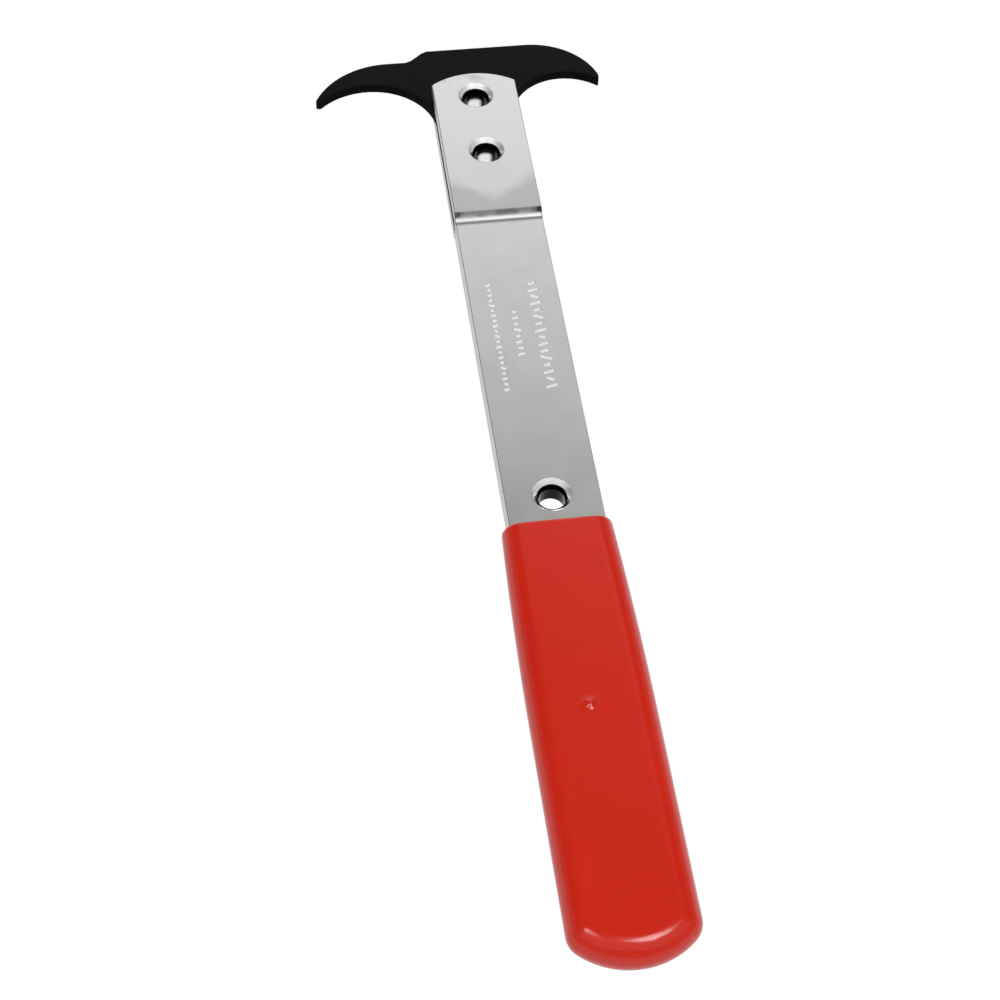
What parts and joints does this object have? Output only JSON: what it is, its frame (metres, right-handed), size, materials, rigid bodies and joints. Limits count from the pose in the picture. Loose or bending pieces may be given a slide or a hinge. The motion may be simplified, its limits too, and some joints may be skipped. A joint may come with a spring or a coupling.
{
  "type": "double-hook seal puller",
  "caption": "Flat steel hand lever with a double-ended black hook riveted across its head and a dipped vinyl grip, for prying out shaft seals.",
  "frame": {"origin": "middle of the shank rivet's bore, on the plane where the two plates meet", "axes": "+Y along the handle to the hook, +Z out of the front face along the rivets, +X to the small hook"},
  "size_m": [0.0873, 0.3048, 0.0123],
  "materials": {
    "plated_steel": "zinc plated, softly bright",
    "black_steel": "black oxide, satin",
    "rivet_steel": "zinc plated",
    "red_vinyl": "dipped plastisol, glossy"
  },
  "bodies": {
    "root": {"front_cheek_plate": "plated_steel", "back_cheek_plate": "plated_steel", "double_hook": "black_steel", "upper_head_rivet": "rivet_steel", "lower_head_rivet": "rivet_steel", "shank_rivet": "rivet_steel", "grip_rivet": "rivet_steel", "vinyl_grip": "red_vinyl"}
  },
  "joints": []
}
